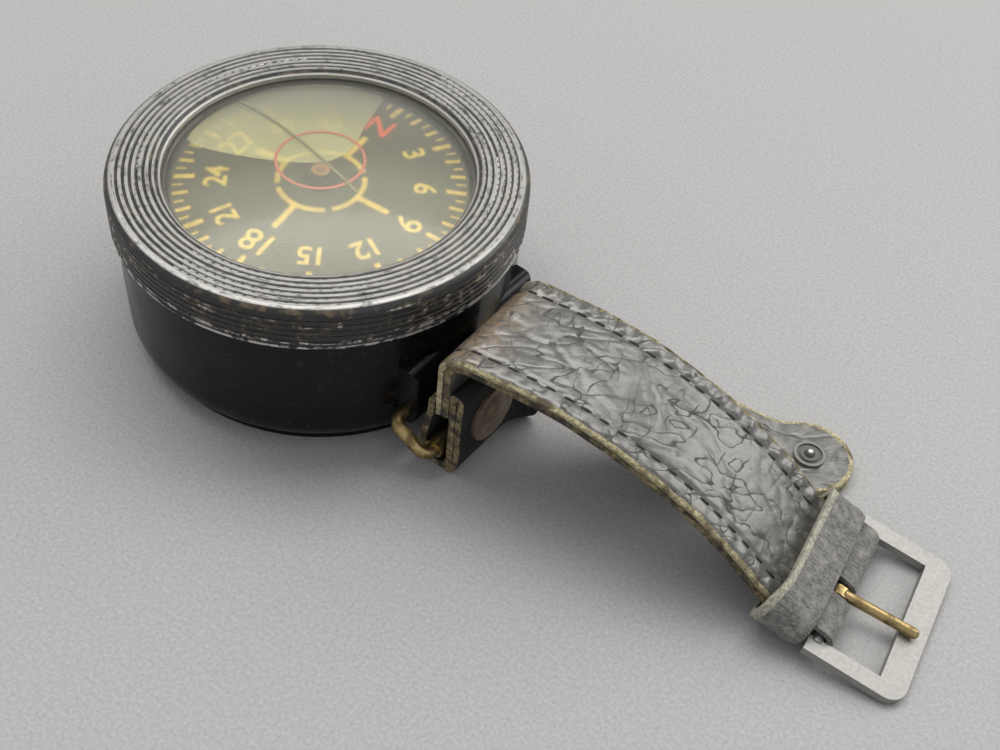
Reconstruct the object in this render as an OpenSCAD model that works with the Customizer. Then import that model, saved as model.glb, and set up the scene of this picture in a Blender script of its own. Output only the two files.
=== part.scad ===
// Liquid-filled aviator's wrist compass with the buckle half of its leather strap.
// Millimetres, +Z up. The compass axis is Z and the case stands on z = 0.
// +X points along the lugs towards the strap.

/* [Case] */
// Outside diameter of the moulded case
case_d = 58.6; // [57:0.2:59.4]
// Height of the case from its base to the shoulder under the bezel
case_h = 21.4; // [20:0.1:24]
// Radius of the rounded bottom edge
case_round = 5.8; // [3:0.1:6.4]
// Thickness of the case floor
floor_t = 5.5; // [4.5:0.1:7]
// Width of each lug across the strap
lug_w = 27; // [25:0.5:28]
// Height of the top of the lugs
lug_top = 15.5; // [12:0.5:17]

/* [Bezel and crystal] */
// Outside diameter of the bezel ring
bezel_d = 60; // [59.6:0.2:64]
// Height of the bezel ring
bezel_h = 6.7; // [6.2:0.1:8]
// Diameter of the window in the bezel
window_d = 44.6; // [43.4:0.2:46]
// Number of turned grooves on the top face
top_grooves = 6; // [5:1:10]
// Number of turned grooves round the side
side_grooves = 6; // [3:1:6]
// Thickness of the crystal
crystal_t = 1.4; // [1.2:0.1:1.8]
// Rise of the crystal's dome above its flange
crystal_rise = 3.3; // [1.6:0.1:3.6]
// Turn of the course line from the lug axis
line_turn = -12; // [-180:1:180]

/* [Card] */
// Diameter of the compass card
card_d = 41.6; // [38:0.2:42]
// Turn of the card's north mark from +Y
card_turn = 7; // [-180:1:180]
// Depth of the card's face under the crystal's flange
card_depth = 3.5; // [3:0.1:4.5]
// Length of the bar magnets under the card
magnet_l = 25; // [18:1:30]

/* [Bail] */
// Diameter of the bail wire
wire_d = 2; // [1.6:0.1:2.2]
// Width between the centres of the bail's arms
bail_w = 31.8; // [31:0.2:34]
// Reach of the bail from its pivot to its bar
bail_reach = 6.6; // [6.4:0.1:7.4]
// Outside diameter of the roller on the bar
roller_d = 2.9; // [2.6:0.1:3]

/* [Strap] */
// Width of the strap
strap_w = 19.4; // [18:0.2:20]
// Thickness of one layer of leather
leather_t = 1.1; // [0.9:0.05:1.2]
// Width of the loop at the strap's foot, from the strap's near edge
loop_w = 16; // [14:0.2:18.8]
// Turn of the strap from the lug axis
strap_skew = 8; // [3:0.5:9]
// Place of the strap's centre along the bail's bar
strap_shift = -4; // [-4.2:0.1:4]
// Height of the strap's arch
arch_top = 23.4; // [22:0.2:26]
// Radius of the arch
arch_r = 60; // [58:0.5:64]
// Width of the press-stud tongue
tab_w = 13; // [9:0.5:14]
// Turn of the tongue from the strap
tab_turn = 28; // [24:0.5:31]

/* [Buckle] */
// Distance from the bail's bar to the buckle's bar
buckle_x = 56; // [54:0.5:57]
// Overall width of the buckle
buckle_w = 24.8; // [24:0.2:28]
// Length of the buckle ahead of its bar
buckle_l = 12.7; // [11:0.1:16]
// Thickness of the buckle plate
plate_t = 1.3; // [1:0.1:1.5]
// Diameter of the prong
prong_d = 1.5; // [1.3:0.1:2]
// Reach of the prong from the bar to its tip
prong_l = 11.3; // [10.6:0.1:12.6]
// Place of the prong along the bar
prong_y = -1.9; // [-4:0.1:4]

/* [Hidden] */
$fn = 64;
case_r = case_d / 2;
bezel_r = bezel_d / 2;
window_r = window_d / 2;
bezel_wall = 3.1;
neck_r = bezel_r - bezel_wall;
chamber_r = window_r + 0.3;

// Heights of the bezel stack, from the shoulder up.
bezel_z = case_h + 0.2;
bezel_top = bezel_z + bezel_h;
lip_t = 1.35;
lip_z = bezel_top - lip_t;
shoulder_r = 1.3;
crystal_r = window_r + 2.4;
crystal_z = lip_z - 0.05 - crystal_t;
neck_top = crystal_z - 0.75;
groove_r = 0.24;

// Dome of the crystal: two concentric spheres over the window.
dome_w = window_r - 0.5;
dome_r = (pow(dome_w, 2) + pow(crystal_rise, 2)) / (2 * crystal_rise);
dome_z = crystal_z + crystal_t + crystal_rise - dome_r;

// Heights of the card and its pivot.
card_top = crystal_z - card_depth;
card_t = 0.6;
mark_h = 0.12;
tip_z = card_top - 1.6;
hub_r = 1.5;
hub_rim = 2.4;
hub_h = 0.6;
cap_rise = 2.5;
cap_tip = 0.7;
rack_l = 17;
rack_w = 4.4;
rack_t = 0.7;
magnet_y = 6.5;
magnet_w = 3.2;
magnet_t = 2.2;

// Marks on the underside of the crystal.
ring_r = 6;
ring_w = 0.4;
line_tail = 8.5;
mark_t = 0.15;
mark_gap = 0.02;

// Pivot of the bail in the lugs.
pin_u = case_r - 2;
pin_z = 7;
lug_nose = 2;
bore_r = wire_d / 2 + 0.05;
bore_l = 4.6;
bail_y = bail_w / 2;
bend_r = 1.6;

// Leather loop round the bail's bar.
loop_in = 1.75;
loop_out = loop_in + leather_t;
loop_z = loop_out + 0.05;
loop_top = 16.3;
bar_z = loop_z + 1.1;
bail_drop = asin((pin_z - bar_z) / bail_reach);
bar_u = pin_u + bail_reach * cos(bail_drop);
loop_y = strap_shift - (strap_w - 0.4 - loop_w) / 2;
stud_y = loop_y - 1;
stud_z = 8.6;
stud_r = 1.3;
cap_r = 4.6;
cap_rim = 0.5;
cap_h = 1.2;
cap_dome = 9.5;

// Run of the strap: its leg, its arch and its slope into the buckle.
layer_gap = 0.04;
strap_t = 2 * leather_t + layer_gap;
leg_x = loop_in - strap_t - 0.05;
leg_end = 11.3;
corner_r = 3.6;
arch_x = 7;
strap_dip = 20;
back_r = 10;
buckle_z = 2.8;
end_gap = 2.5;
dip_dir = [cos(strap_dip), -sin(strap_dip)];
dip_up = [sin(strap_dip), cos(strap_dip)];
arch_c = [arch_x, arch_top - arch_r];
buckle_bar = [buckle_x, buckle_z];
end_line = buckle_bar + strap_t / 2 * dip_up;
line_off = (end_line - arch_c) * dip_up;
line_run = sqrt(pow(arch_r + back_r, 2) - pow(line_off + back_r, 2));
back_c = arch_c + (line_off + back_r) * dip_up + line_run * dip_dir;
meet_a = atan2(back_c[1] - arch_c[1], back_c[0] - arch_c[0]);

// Fold, keeper and buckle.
fold_in = strap_t / 2 + 0.08;
fold_t = 0.9;
fold_out = fold_in + fold_t;
fold_l = 7.3;
keeper_t = 1.1;
bar_r = 0.9;
eye_t = 0.75;
slot_w = prong_d + 1.1;
side_in = strap_w / 2 + 0.25;
front_w = 3.7;
plate_reach = sqrt(pow(buckle_l, 2) + pow(plate_t / 2, 2));
buckle_dip = asin((buckle_z - 0.03) / plate_reach) - atan(plate_t / 2 / buckle_l);

// Tongue under the arch.
tab_t = 2;
tab_bend = 6;
tab_run = 37.4;
tab_tip = 41.7;
stud_d = 4.6;
tab_seat = 0.34;
tab_hi = arch_top - strap_t - tab_seat;
tab_lo = tab_t + 0.03;
tab_drop = tab_hi - tab_lo;
tab_k = sqrt(pow(tab_run, 2) + pow(2 * tab_bend - tab_drop, 2));
tab_dip = asin(2 * tab_bend / tab_k) - atan2(2 * tab_bend - tab_drop, tab_run);

// Places a solid drawn along the strap.
module on_strap() {
  translate([bar_u, strap_shift, 0])
    rotate([0, 0, strap_skew])
      children();
}

// Places a solid drawn round the buckle's bar, with +X down the strap's slope.
module on_end(dip) {
  on_strap()
    translate([buckle_x, 0, buckle_z])
      rotate([0, dip, 0])
        children();
}

// Stands an upright outline, drawn in X and Z, on its middle plane.
module upright(w) {
  translate([0, w / 2, 0])
    rotate([90, 0, 0])
      linear_extrude(w)
        children();
}

// Tube or rod along Y.
module rod_y(r, y0, y1) {
  translate([0, y0, 0])
    rotate([-90, 0, 0])
      cylinder(r = r, h = y1 - y0);
}

// Moulded case
module case_outline() {
  translate([0, case_round])
    square([case_r, case_h - case_round]);
  square([case_r - case_round, case_round + 1]);
  intersection() {
    translate([case_r - case_round, case_round])
      circle(case_round);
    square([case_r, case_h]);
  }
  square([neck_r, neck_top]);
}

module lug_outline() {
  translate([12, pin_z - lug_nose])
    square([pin_u - 12, lug_top - pin_z + lug_nose]);
  translate([pin_u - 1, pin_z])
    square([lug_nose + 1, lug_top - lug_nose - pin_z]);
  translate([pin_u, pin_z])
    circle(lug_nose);
  translate([pin_u, lug_top - lug_nose])
    circle(lug_nose);
}

module lug_plan() {
  edge = 1.2;
  translate([12, -lug_w / 2])
    square([pin_u + lug_nose - edge - 12, lug_w]);
  translate([12, edge - lug_w / 2])
    square([pin_u + lug_nose - 12, lug_w - 2 * edge]);
  for (s = [-1, 1])
    translate([pin_u + lug_nose - edge, s * (lug_w / 2 - edge)])
      circle(edge);
}

module lug() {
  intersection() {
    upright(lug_w)
      lug_outline();
    linear_extrude(lug_top + 1)
      lug_plan();
  }
}

module body_case() {
  color([0.05, 0.05, 0.06])
    difference() {
      union() {
        rotate_extrude()
          case_outline();
        lug();
        rotate([0, 0, 180])
          lug();
      }
      translate([0, 0, floor_t])
        cylinder(r = chamber_r, h = neck_top);
      // Seat of the pivot post and hole of the filler plug.
      translate([0, 0, floor_t - 2.5])
        cylinder(r = 1.65, h = 3);
      translate([-11, 0, -1])
        cylinder(r = 3.3, h = 2.3);
      translate([-11, 0, 0])
        cylinder(r = 2.05, h = floor_t + 1);
      // Pivot holes for a wire bail in each lug.
      for (side = [0, 180], s = [-1, 1])
        rotate([0, 0, side])
          translate([pin_u, 0, pin_z])
            rod_y(bore_r, s > 0 ? lug_w / 2 - bore_l : -lug_w / 2 - 1,
                  s > 0 ? lug_w / 2 + 1 : bore_l - lug_w / 2);
    }
}

module filler_plug() {
  color([0.62, 0.5, 0.26])
    translate([-11, 0, 0])
      difference() {
        union() {
          translate([0, 0, 0.3])
            cylinder(r = 3.1, h = 0.95);
          translate([0, 0, 1])
            cylinder(r = 2, h = floor_t - 1.1);
        }
        translate([-4, -0.45, -0.5])
          cube([8, 0.9, 1.3]);
      }
}

// Pivot
module pivot_post() {
  color([0.66, 0.53, 0.27])
    difference() {
      rotate_extrude() {
        translate([0, floor_t - 2.4])
          square([1.6, tip_z - 4.4 - floor_t + 2.4]);
        translate([0, floor_t + 0.02])
          square([4, 0.9]);
      }
      translate([0, 0, tip_z - 7])
        cylinder(r = 0.42, h = 4);
    }
}

module pivot_pin() {
  color([0.7, 0.72, 0.75])
    union() {
      translate([0, 0, tip_z - 6.9])
        cylinder(r = 0.4, h = 5.9);
      translate([0, 0, tip_z - 1])
        cylinder(r1 = 0.4, r2 = 0.08, h = 0.9);
    }
}

// Card with its raised marks. North points along +Y before the card is turned.
module card_mark(a, r0, r1, w) {
  rotate([0, 0, a])
    translate([-w / 2, r0, card_top - 0.1])
      cube([w, r1 - r0, 0.1 + mark_h]);
}

module compass_card() {
  edge = card_d / 2 - 0.45;
  color([0.04, 0.04, 0.05])
    rotate([0, 0, card_turn])
      union() {
        difference() {
          translate([0, 0, card_top - card_t])
            cylinder(r = card_d / 2, h = card_t);
          translate([0, 0, card_top - card_t - 1])
            cylinder(r = hub_r + 0.05, h = card_t + 2);
        }
        for (i = [0 : 71])
          card_mark(5 * i, edge - (i % 6 == 0 ? 3 : i % 2 == 0 ? 2.2 : 1.5), edge,
                    i % 6 == 0 ? 0.8 : i % 2 == 0 ? 0.6 : 0.32);
        for (i = [0 : 3]) {
          card_mark(90 * i, 6, 11, 0.9);
          rotate([0, 0, 90 * i + 50])
            translate([0, 0, card_top - 0.1])
              rotate_extrude(angle = 80)
                translate([5.6, 0])
                  square([0.7, 0.1 + mark_h]);
        }
      }
}

module card_hub() {
  color([0.55, 0.44, 0.24])
    rotate([0, 0, card_turn])
      difference() {
        union() {
          translate([0, 0, card_top + 0.02])
            cylinder(r1 = hub_rim, r2 = hub_r + 0.3, h = hub_h);
          translate([0, 0, card_top + hub_h])
            cylinder(r1 = hub_r + 0.3, r2 = hub_r - 0.2, h = cap_rise);
          translate([0, 0, card_top + hub_h + cap_rise - cap_tip / 2])
            sphere(cap_tip);
          translate([0, 0, tip_z - 2.6])
            cylinder(r = hub_r, h = card_top - tip_z + 2.7);
          translate([-rack_w / 2, -rack_l / 2, card_top - card_t - mark_gap - rack_t])
            cube([rack_w, rack_l, rack_t]);
        }
        translate([0, 0, tip_z - 2.7])
          cylinder(r1 = 1.25, r2 = 0.12, h = 2.7);
      }
}

module card_magnet(y) {
  color([0.3, 0.3, 0.32])
    rotate([0, 0, card_turn])
      translate([-magnet_l / 2, y - magnet_w / 2, card_top - card_t - 2 * mark_gap - rack_t - magnet_t])
        cube([magnet_l, magnet_w, magnet_t]);
}

module card_magnet_a() {
  card_magnet(magnet_y);
}

module card_magnet_b() {
  card_magnet(-magnet_y);
}

// Crystal with its gasket, course line and centre ring
module crystal_gasket() {
  color([0.08, 0.08, 0.08])
    rotate_extrude()
      translate([chamber_r, neck_top + 0.02])
        square([crystal_r - 0.2 - chamber_r, 0.7]);
}

// Half outline of a sphere that lies some depth under the crystal's outer face.
module dome_outline(depth) {
  intersection() {
    translate([0, dome_z])
      circle(dome_r - depth, $fn = 1440);
    translate([0, crystal_z])
      square([dome_w, crystal_t + crystal_rise]);
  }
}

module crystal() {
  color([0.75, 0.8, 0.8, 0.35])
    rotate_extrude()
      difference() {
        union() {
          translate([0, crystal_z])
            square([crystal_r, crystal_t]);
          dome_outline(0);
        }
        dome_outline(crystal_t);
      }
}

// Skin of one painted mark on the underside of the dome; deeper marks pass under it.
module mark_skin(layer) {
  depth = crystal_t + mark_gap + layer * (mark_t + mark_gap);
  rotate_extrude()
    difference() {
      dome_outline(depth);
      dome_outline(depth + mark_t);
    }
}

module course_line() {
  color([0.2, 0.2, 0.1])
    rotate([0, 0, line_turn])
      intersection() {
        mark_skin(0);
        translate([1.5 - dome_w, -ring_w / 2, crystal_z])
          cube([dome_w - 1.5 + line_tail, ring_w, crystal_t + crystal_rise]);
      }
}

module centre_ring() {
  color([0.6, 0.12, 0.1])
    intersection() {
      mark_skin(1);
      rotate_extrude()
        translate([ring_r, crystal_z])
          square([ring_w, crystal_t + crystal_rise]);
    }
}

// Bezel ring with its turned grooves
module bezel_outline() {
  inner = window_r + 0.9;
  top_step = (bezel_r - shoulder_r - 0.5 - inner - 0.4) / (top_grooves - 1);
  side_step = (bezel_h - shoulder_r - 0.7) / (side_grooves - 1);
  difference() {
    union() {
      translate([window_r, bezel_z])
        square([bezel_r - window_r, bezel_h - shoulder_r]);
      translate([window_r, bezel_z])
        square([bezel_r - shoulder_r - window_r, bezel_h]);
      translate([bezel_r - shoulder_r, bezel_top - shoulder_r])
        circle(shoulder_r);
    }
    translate([0, bezel_z - 1])
      square([neck_r + 0.08, neck_top + 0.25 - bezel_z + 1]);
    translate([0, neck_top])
      square([crystal_r + 0.2, lip_z - neck_top]);
    polygon([[window_r - 1, bezel_top + 1], [inner, bezel_top + 1],
             [inner, bezel_top], [window_r, bezel_top - 0.7], [window_r - 1, bezel_top - 0.7]]);
    for (i = [0 : top_grooves - 1])
      translate([inner + 0.4 + i * top_step, bezel_top])
        circle(groove_r);
    for (i = [0 : side_grooves - 1])
      translate([bezel_r, bezel_z + 0.6 + i * side_step])
        circle(groove_r);
  }
}

module bezel_ring() {
  color([0.16, 0.16, 0.17])
    rotate_extrude()
      bezel_outline();
}

// Wire bail: two turned-in ends, two arms and the bar that carries the strap
module bail_half() {
  r = wire_d / 2;
  rod_y(r, lug_w / 2 - bore_l + 0.2, bail_y - bend_r);
  translate([bend_r, bail_y - bend_r, 0])
    rotate([0, 0, 90])
      rotate_extrude(angle = 90)
        translate([bend_r, 0])
          circle(r);
  translate([bend_r, bail_y, 0])
    rotate([0, 90, 0])
      cylinder(r = r, h = bail_reach - 2 * bend_r);
  translate([bail_reach - bend_r, bail_y - bend_r, 0])
    rotate_extrude(angle = 90)
      translate([bend_r, 0])
        circle(r);
  translate([bail_reach, 0, 0])
    rod_y(r, -0.5, bail_y - bend_r);
}

module strap_bail() {
  color([0.6, 0.48, 0.25])
    translate([pin_u, 0, pin_z])
      rotate([0, bail_drop, 0])
        union() {
          bail_half();
          mirror([0, 1, 0])
            bail_half();
        }
}

module bail_roller() {
  y0 = 0.15 - (bail_y - bend_r);
  y1 = strap_shift + strap_w / 2 + 0.7;
  color([0.68, 0.54, 0.28])
    translate([bar_u, 0, bar_z])
      difference() {
        rod_y(roller_d / 2, y0, y1);
        rod_y(wire_d / 2 + 0.05, y0 - 1, y1 + 1);
      }
}

// Leather loop sewn to the foot of the strap, with its facing
module loop_outline() {
  lap_x = leg_x - 0.04;
  lap_w = leather_t + 0.04;
  difference() {
    translate([0, loop_z])
      circle(loop_out);
    translate([0, loop_z])
      circle(loop_in);
    translate([-5, loop_z])
      square([10, 10]);
  }
  translate([loop_in, loop_z - 0.01])
    square([leather_t, loop_top - loop_z]);
  polygon([
    [-loop_out, loop_z - 0.01], [-loop_in, loop_z - 0.01], [-loop_in, bar_z + 1.5],
    [lap_x, leg_end - 0.1], [lap_x, leg_end + 1.6], [lap_x - lap_w, leg_end + 1.6],
    [lap_x - lap_w, leg_end - 0.1], [-loop_out, bar_z + 1.5]
  ]);
}

module stud_hole() {
  translate([bar_u, stud_y, stud_z])
    rotate([0, 90, 0])
      cylinder(r = stud_r + 0.05, h = 8);
}

module strap_loop() {
  color([0.12, 0.11, 0.1])
    difference() {
      translate([bar_u, loop_y, 0])
        upright(loop_w)
          loop_outline();
      stud_hole();
    }
}

module loop_facing() {
  color([0.2, 0.2, 0.2])
    difference() {
      translate([bar_u + loop_out + 0.03, loop_y, 0])
        upright(loop_w) {
          translate([0, 0.1 + leather_t / 2])
            square([leather_t, loop_top - 0.1 - leather_t / 2]);
          translate([leather_t / 2, 0.1 + leather_t / 2])
            circle(leather_t / 2);
        }
      stud_hole();
    }
}

module stud_cap() {
  color([0.3, 0.22, 0.17])
    translate([bar_u + loop_out + leather_t + 0.05, stud_y, stud_z])
      rotate([0, 90, 0])
        rotate_extrude() {
          square([cap_r, cap_rim]);
          intersection() {
            translate([0, cap_h - cap_dome])
              circle(cap_dome);
            square([cap_r - 0.4, cap_h]);
          }
        }
}

module stud_post() {
  color([0.55, 0.45, 0.25])
    translate([bar_u + loop_in - 0.05, stud_y, stud_z])
      rotate([0, 90, 0])
        union() {
          translate([0, 0, -0.6])
            cylinder(r = stud_r + 1, h = 0.6);
          cylinder(r = stud_r, h = 2 * leather_t + 0.1);
        }
}

// Strap layers, lofted from the near edge to the far edge.
// Each point is [x, z, twist]: the leg follows the bail's bar, the arch follows the strap.
function arc_run(c, r, a0, a1, n, t0, t1) = [
  for (i = [0 : n])
    [c[0] + r * cos(a0 + (a1 - a0) * i / n), c[1] + r * sin(a0 + (a1 - a0) * i / n),
     t0 + (t1 - t0) * i / n]
];

function strap_run(d) = concat(
  [[leg_x + d, leg_end, 1], [leg_x + d, (leg_end + arch_top - corner_r) / 2, 1]],
  arc_run([leg_x + corner_r, arch_top - corner_r], corner_r - d, 180, 90, 8, 1, 0.4),
  arc_run(arch_c, arch_r - d, 90, meet_a, 26, 0.1, 0),
  arc_run(back_c, back_r + d, meet_a + 180, 270 - strap_dip, 5, 0, 0),
  [[end_line[0] - end_gap * dip_dir[0] - d * dip_up[0],
    end_line[1] - end_gap * dip_dir[1] - d * dip_up[1], 0]]
);

function strap_edge(run, y) = [
  for (p = run)
    [p[0] + y * tan(strap_skew) * p[2], y, p[1]]
];

module strap_layer(d0, d1) {
  upper = strap_run(d0);
  lower = strap_run(d1);
  n = len(upper);
  y = strap_w / 2;
  corners = concat(strap_edge(upper, -y), strap_edge(upper, y),
                   strap_edge(lower, -y), strap_edge(lower, y));
  skins = [
    for (i = [0 : n - 2], k = [0 : 3])
      let (a = [0, n, 3 * n, 2 * n][k], b = [n, 3 * n, 2 * n, 0][k])
        each k == 2
          ? [[a + i, b + i, a + i + 1], [b + i, b + i + 1, a + i + 1]]
          : [[a + i, b + i, b + i + 1], [a + i, b + i + 1, a + i + 1]]
  ];
  caps = [
    [0, 2 * n, 3 * n], [0, 3 * n, n],
    [n - 1, 2 * n - 1, 4 * n - 1], [n - 1, 4 * n - 1, 3 * n - 1]
  ];
  polyhedron(corners, concat(skins, caps));
}

module strap_outer() {
  color([0.1, 0.1, 0.1])
    on_strap()
      strap_layer(0, leather_t);
}

module strap_lining() {
  color([0.25, 0.22, 0.18])
    on_strap()
      strap_layer(leather_t + layer_gap, strap_t);
}

// Press-stud tongue sewn under the top of the arch
function tab_line(d) =
  let (foot = 2 + tab_run)
    concat(
      [[-1.5, tab_hi - d]],
      [for (i = [0 : 6]) let (a = tab_dip * i / 6)
        [2 + (tab_bend - d) * sin(a), tab_hi - tab_bend + (tab_bend - d) * cos(a)]],
      [for (i = [0 : 6]) let (a = tab_dip * (1 - i / 6))
        [foot - (tab_bend + d) * sin(a), tab_lo + tab_bend - (tab_bend + d) * cos(a)]],
      [[tab_tip + tab_w, tab_lo - d]]
    );

module on_tab() {
  on_strap()
    translate([arch_x + 0.6, 0, 0])
      rotate([0, 0, tab_turn])
        children();
}

module snap_tab() {
  top = tab_line(0);
  low = tab_line(tab_t);
  m = len(low);
  color([0.11, 0.1, 0.1])
    on_tab()
      difference() {
        intersection() {
          upright(tab_w)
            polygon(concat(top, [for (i = [1 : m]) low[m - i]]));
          linear_extrude(arch_top) {
            translate([-3, -tab_w / 2])
              square([tab_tip + 3, tab_w]);
            translate([tab_tip, 0])
              circle(tab_w / 2);
          }
        }
        translate([tab_tip, 0, -1])
          cylinder(r = 0.9, h = 6);
      }
}

module tab_stud() {
  color([0.5, 0.48, 0.44])
    on_tab()
      translate([tab_tip, 0, tab_lo + 0.02])
        union() {
          translate([0, 0, -1.7])
            cylinder(r = 0.85, h = 1.8);
          difference() {
            cylinder(r = stud_d / 2, h = 0.5);
            translate([0, 0, 0.25])
              cylinder(r = stud_d / 2 - 0.4, h = 1);
          }
          translate([0, 0, 0.1])
            cylinder(r = stud_d / 2 - 0.9, h = 0.4);
          translate([0, 0, 0.4])
            sphere(0.8);
        }
}

// Leather fold that holds the buckle's bar, slotted for the prong
module end_fold() {
  color([0.2, 0.19, 0.18])
    on_end(strap_dip)
      difference() {
        upright(strap_w) {
          difference() {
            circle(fold_out);
            circle(fold_in);
            translate([-5, -5])
              square([5, 10]);
          }
          translate([-fold_l, fold_in])
            square([fold_l, fold_t]);
          translate([-fold_l, -fold_out])
            square([fold_l, fold_t]);
        }
        translate([-2.4, prong_y - slot_w / 2, -5])
          cube([8, slot_w, 10]);
      }
}

module keeper_plan(w, h, r) {
  square([w - 2 * r, h], center = true);
  square([w, h - 2 * r], center = true);
  for (s = [-1, 1], t = [-1, 1])
    translate([s * (w / 2 - r), t * (h / 2 - r)])
      circle(r);
}

module keeper() {
  in_w = strap_w + 0.2;
  in_h = 2 * fold_out + 0.1;
  color([0.22, 0.21, 0.2])
    on_end(strap_dip)
      translate([-fold_l - 0.4, 0, 0])
        rotate([90, 0, 90])
          linear_extrude(fold_l - 1.9)
            difference() {
              keeper_plan(in_w + 2 * keeper_t, in_h + 2 * keeper_t, 1.7);
              square([in_w, in_h], center = true);
            }
}

// Buckle frame with its round bar, and the prong on it
module buckle_plan() {
  half = buckle_w / 2;
  front_r = 2.6;
  back_x = -1.2;
  difference() {
    union() {
      translate([back_x, -half])
        square([buckle_l - front_r - back_x, buckle_w]);
      translate([back_x, front_r - half])
        square([buckle_l - back_x, buckle_w - 2 * front_r]);
      for (s = [-1, 1])
        translate([buckle_l - front_r, s * (half - front_r)])
          circle(front_r);
    }
    translate([back_x - 1, -side_in])
      square([buckle_l - front_w - back_x + 1, 2 * side_in]);
  }
}

module buckle_frame() {
  color([0.78, 0.79, 0.8])
    on_end(buckle_dip)
      union() {
        translate([0, 0, -plate_t / 2])
          linear_extrude(plate_t)
            buckle_plan();
        rod_y(bar_r, -side_in - 0.6, side_in + 0.6);
      }
}

module buckle_prong() {
  r = prong_d / 2;
  root_x = 0.7;
  root_z = bar_r + eye_t - r + 0.1;
  rest_x = buckle_l - front_w;
  rest_z = plate_t / 2 + r + 0.08;
  rise = atan((rest_z - root_z) / (rest_x - root_x));
  shaft = (prong_l - root_x) / cos(rise) - r;
  color([0.66, 0.53, 0.28])
    on_end(buckle_dip)
      translate([0, prong_y, 0])
        difference() {
          union() {
            rod_y(bar_r + eye_t, -r, r);
            translate([root_x, 0, root_z])
              rotate([0, 90 - rise, 0]) {
                cylinder(r = r, h = shaft);
                translate([0, 0, shaft])
                  sphere(r);
              }
          }
          rod_y(bar_r + 0.05, -2, 2);
        }
}

body_case();
filler_plug();
pivot_post();
pivot_pin();
compass_card();
card_hub();
card_magnet_a();
card_magnet_b();
crystal_gasket();
crystal();
course_line();
centre_ring();
bezel_ring();
strap_bail();
bail_roller();
strap_loop();
loop_facing();
stud_cap();
stud_post();
strap_outer();
strap_lining();
snap_tab();
tab_stud();
end_fold();
keeper();
buckle_frame();
buckle_prong();
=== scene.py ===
import math

import bmesh
import bpy
from mathutils import Matrix, Vector, noise


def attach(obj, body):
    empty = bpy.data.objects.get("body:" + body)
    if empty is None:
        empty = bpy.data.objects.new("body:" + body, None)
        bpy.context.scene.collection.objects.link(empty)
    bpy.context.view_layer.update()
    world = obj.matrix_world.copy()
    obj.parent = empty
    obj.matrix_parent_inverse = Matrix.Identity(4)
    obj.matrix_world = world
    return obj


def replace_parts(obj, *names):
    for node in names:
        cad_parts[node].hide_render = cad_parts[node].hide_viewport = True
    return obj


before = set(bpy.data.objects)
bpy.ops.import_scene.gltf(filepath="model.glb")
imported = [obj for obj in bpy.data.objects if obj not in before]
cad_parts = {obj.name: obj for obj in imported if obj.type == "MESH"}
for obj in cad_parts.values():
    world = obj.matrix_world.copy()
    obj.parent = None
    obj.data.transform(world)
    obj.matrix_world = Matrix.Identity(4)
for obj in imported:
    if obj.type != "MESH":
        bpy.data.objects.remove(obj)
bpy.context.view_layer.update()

# Case
# One black phenolic moulding with a lug on each side and a generously rounded foot.
# It left its mould glossy; handling has dulled it in patches and left dust in the corners.
MM = 0.001


class Finish:
    """One finish: a single shader, fed by patterns laid out in the piece's own metres."""

    def __init__(self, name, **own):
        self.material = bpy.data.materials.new(name)
        self.material.use_nodes = True
        self.tree = self.material.node_tree
        self.shader = self.tree.nodes["Principled BSDF"]
        self.place = self.tree.nodes.new("ShaderNodeTexCoord").outputs["Object"]
        for socket, value in own.items():
            self.give(socket.replace("_", " "), value)

    def join(self, socket, value):
        if isinstance(value, bpy.types.NodeSocket):
            self.tree.links.new(value, socket)
        else:
            socket.default_value = value

    def give(self, socket, value):
        self.join(self.shader.inputs[socket], value)

    def add(self, kind, inputs, output=0, **settings):
        node = self.tree.nodes.new("ShaderNode" + kind)
        for key, value in settings.items():
            setattr(node, key, value)
        for key, value in inputs.items():
            self.join(node.inputs[key], value)
        return node.outputs[output]

    def stretched(self, x, y, z):
        return self.add("Mapping", {"Vector": self.place, "Scale": (x, y, z)})

    def mottle(self, size, detail=4.0, place=None):
        """Soft random blotches, about size millimetres across."""
        where = self.place if place is None else place
        return self.add("TexNoise", {"Vector": where, "Scale": 1 / (size * MM), "Detail": detail})

    def above(self, value, low, high):
        """0 where value is under low, 1 where it is over high."""
        spread = {"Value": value, "From Min": low, "From Max": high}
        return self.add("MapRange", spread, interpolation_type="SMOOTHSTEP")

    def patches(self, size, detail, low, high, place=None):
        """Blotches with soft edges: 0 between them and 1 inside."""
        return self.above(self.mottle(size, detail, place), low, high)

    def between(self, value, low, high):
        """Runs from low to high as value runs from 0 to 1."""
        return self.add("MapRange", {"Value": value, "To Min": low, "To Max": high})

    def maths(self, operation, a, b=0.0):
        return self.add("Math", {0: a, 1: b}, operation=operation)

    def blend(self, share, a, b):
        """Colour a where share is 0 and colour b where it is 1."""
        return self.add("Mix", {0: share, 6: a, 7: b}, output=2, data_type="RGBA")

    def height(self):
        return self.add("SeparateXYZ", {"Vector": self.place}, output=2)

    def radius(self):
        return self.add("VectorMath", {0: self.stretched(1, 1, 0)}, output=1, operation="LENGTH")

    def relief(self, height, depth):
        """Raises the surface by depth millimetres where height is 1."""
        self.give("Normal", self.add("Bump", {"Height": height, "Distance": depth * MM}))


def dress(finish, *nodes):
    for node in nodes:
        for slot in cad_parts[node].material_slots:
            slot.material = finish.material


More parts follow.
